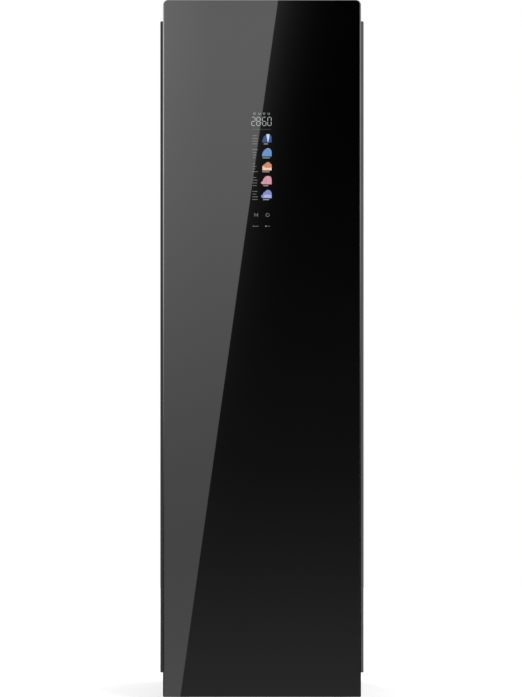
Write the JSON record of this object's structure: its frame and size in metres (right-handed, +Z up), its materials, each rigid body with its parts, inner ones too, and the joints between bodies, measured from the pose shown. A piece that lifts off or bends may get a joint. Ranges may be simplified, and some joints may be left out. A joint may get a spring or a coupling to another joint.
{
  "type": "clothes care steam cabinet",
  "caption": "Tall free-standing cabinet with a full-height black glass door that steams, shakes and dries clothes on a moving hanger bar over lift-out water tanks.",
  "frame": {"origin": "on the floor, below the middle of the cabinet's bounding box", "axes": "+Z up, +X to the viewer's right, and the door's glass faces -Y"},
  "size_m": [0.536, 0.59, 1.85],
  "materials": {
    "black_glass": "polished, black-backed",
    "rim_aluminium": "satin anodised",
    "grip_aluminium": "dark anodised",
    "graphite_steel": "fine-textured powder coat",
    "dark_steel": "satin coat",
    "bare_steel": "brushed",
    "liner_plastic": "satin",
    "deck_plastic": "satin",
    "dark_plastic": "fine-textured",
    "hanger_plastic": "satin",
    "smoke_plastic": "clear smoked",
    "seal_rubber": "soft matt",
    "insulating_foam": "closed-cell foam",
    "fin_aluminium": "mill"
  },
  "bodies": {
    "cabinet": {"base_pan": "dark_steel", "side_panel_right": "graphite_steel", "side_panel_left": "graphite_steel", "top_cover": "graphite_steel", "back_cover": "dark_steel", "power_inlet": "dark_plastic", "front_frame": "deck_plastic", "liner_right": "liner_plastic", "liner_left": "liner_plastic", "liner_back": "liner_plastic", "insulation_right": "insulating_foam", "insulation_left": "insulating_foam", "insulation_back": "insulating_foam", "ceiling_panel": "liner_plastic", "shaker_rails": "bare_steel", "shaker_motor": "dark_plastic", "control_box": "dark_plastic", "deck": "deck_plastic", "steam_nozzle": "bare_steel", "tank_bay": "dark_plastic", "evaporator": "fin_aluminium", "condenser": "fin_aluminium", "compressor": "dark_steel", "steam_generator": "bare_steel", "feed_pump": "dark_plastic", "drain_pump": "dark_plastic", "blower_housing": "dark_plastic", "blower_motor": "bare_steel", "hinge_bracket_top": "bare_steel", "hinge_bracket_bottom": "bare_steel"},
    "door": {"door_glass": "black_glass", "door_rim": "rim_aluminium", "hinge_bush_top": "dark_plastic", "hinge_bush_bottom": "dark_plastic", "door_shell": "graphite_steel", "touch_display": "dark_plastic", "door_foam": "insulating_foam", "door_inner_panel": "liner_plastic", "door_seal": "seal_rubber", "grip_rail_right": "grip_aluminium", "grip_rail_left": "grip_aluminium"},
    "shaken_bar": {"shaker_carriage": "bare_steel", "hanger_bar": "bare_steel"},
    "crank": {"crank_disc": "bare_steel"},
    "left_hanger": {"hanger_left": "hanger_plastic"},
    "centre_hanger": {"hanger_centre": "hanger_plastic"},
    "right_hanger": {"hanger_right": "hanger_plastic"},
    "lift_off_shelf": {"shelf": "deck_plastic"},
    "filter": {"lint_filter": "deck_plastic"},
    "clean_water_tank": {"supply_tank": "smoke_plastic", "supply_tank_lid": "deck_plastic"},
    "clean_water_handle": {"supply_tank_handle": "dark_plastic"},
    "used_water_tank": {"drain_tank": "smoke_plastic", "drain_tank_lid": "deck_plastic"},
    "used_water_handle": {"drain_tank_handle": "dark_plastic"},
    "fan": {"blower_wheel": "dark_plastic"},
    "front_left_foot": {"foot_front_left": "dark_plastic"},
    "front_right_foot": {"foot_front_right": "dark_plastic"},
    "rear_left_foot": {"foot_rear_left": "dark_plastic"},
    "rear_right_foot": {"foot_rear_right": "dark_plastic"}
  },
  "joints": [
    {"name": "door_hinge", "type": "hinge", "parent": "cabinet", "child": "door", "pos_m": [0.245, -0.267, 0.93], "axis": [0, 0, 1], "range_deg": [0, 110]},
    {"name": "hanger_shake", "type": "slide", "parent": "cabinet", "child": "shaken_bar", "axis": [1, 0, 0], "range_m": [-0.012, 0.012]},
    {"name": "crank_turn", "type": "hinge", "parent": "cabinet", "child": "crank", "pos_m": [0, 0.0109, 1.75], "axis": [0, 0, 1], "range_deg": [-91, 91]},
    {"name": "left_hanger_swing", "type": "hinge", "parent": "shaken_bar", "child": "left_hanger", "pos_m": [-0.14, 0.0109, 1.64], "axis": [1, 0, 0], "range_deg": [-8, 8]},
    {"name": "centre_hanger_swing", "type": "hinge", "parent": "shaken_bar", "child": "centre_hanger", "pos_m": [0, 0.0109, 1.64], "axis": [1, 0, 0], "range_deg": [-8, 8]},
    {"name": "right_hanger_swing", "type": "hinge", "parent": "shaken_bar", "child": "right_hanger", "pos_m": [0.14, 0.0109, 1.64], "axis": [1, 0, 0], "range_deg": [-8, 8]},
    {"name": "shelf_lift", "type": "slide", "parent": "cabinet", "child": "lift_off_shelf", "axis": [0, 0, 1], "range_m": [0, 0.2]},
    {"name": "filter_lift", "type": "slide", "parent": "cabinet", "child": "filter", "axis": [0, 0, 1], "range_m": [0, 0.15]},
    {"name": "clean_tank_lift", "type": "slide", "parent": "cabinet", "child": "clean_water_tank", "axis": [0, 0, 1], "range_m": [0, 0.22]},
    {"name": "clean_handle_turn", "type": "hinge", "parent": "clean_water_tank", "child": "clean_water_handle", "pos_m": [-0.1031, -0.1572, 0.3315], "axis": [-1, 0, 0], "range_deg": [0, 90]},
    {"name": "used_tank_lift", "type": "slide", "parent": "cabinet", "child": "used_water_tank", "axis": [0, 0, 1], "range_m": [0, 0.22]},
    {"name": "used_handle_turn", "type": "hinge", "parent": "used_water_tank", "child": "used_water_handle", "pos_m": [0.1031, -0.1572, 0.3315], "axis": [-1, 0, 0], "range_deg": [0, 90]},
    {"name": "fan_spin", "type": "hinge", "parent": "cabinet", "child": "fan", "pos_m": [0.128, 0.17, 0.12], "axis": [0, 1, 0], "continuous": true},
    {"name": "front_left_foot_turn", "type": "hinge", "parent": "cabinet", "child": "front_left_foot", "pos_m": [-0.21, -0.1807, 0.02], "axis": [0, 0, 1], "continuous": true},
    {"name": "front_right_foot_turn", "type": "hinge", "parent": "cabinet", "child": "front_right_foot", "pos_m": [0.21, -0.1807, 0.02], "axis": [0, 0, 1], "continuous": true},
    {"name": "rear_left_foot_turn", "type": "hinge", "parent": "cabinet", "child": "rear_left_foot", "pos_m": [-0.21, 0.2455, 0.02], "axis": [0, 0, 1], "continuous": true},
    {"name": "rear_right_foot_turn", "type": "hinge", "parent": "cabinet", "child": "rear_right_foot", "pos_m": [0.21, 0.2455, 0.02], "axis": [0, 0, 1], "continuous": true}
  ],
  "couplings": [
    {"joint": "crank_turn", "follows": "hanger_shake", "rad_per_m": 130.9}
  ]
}
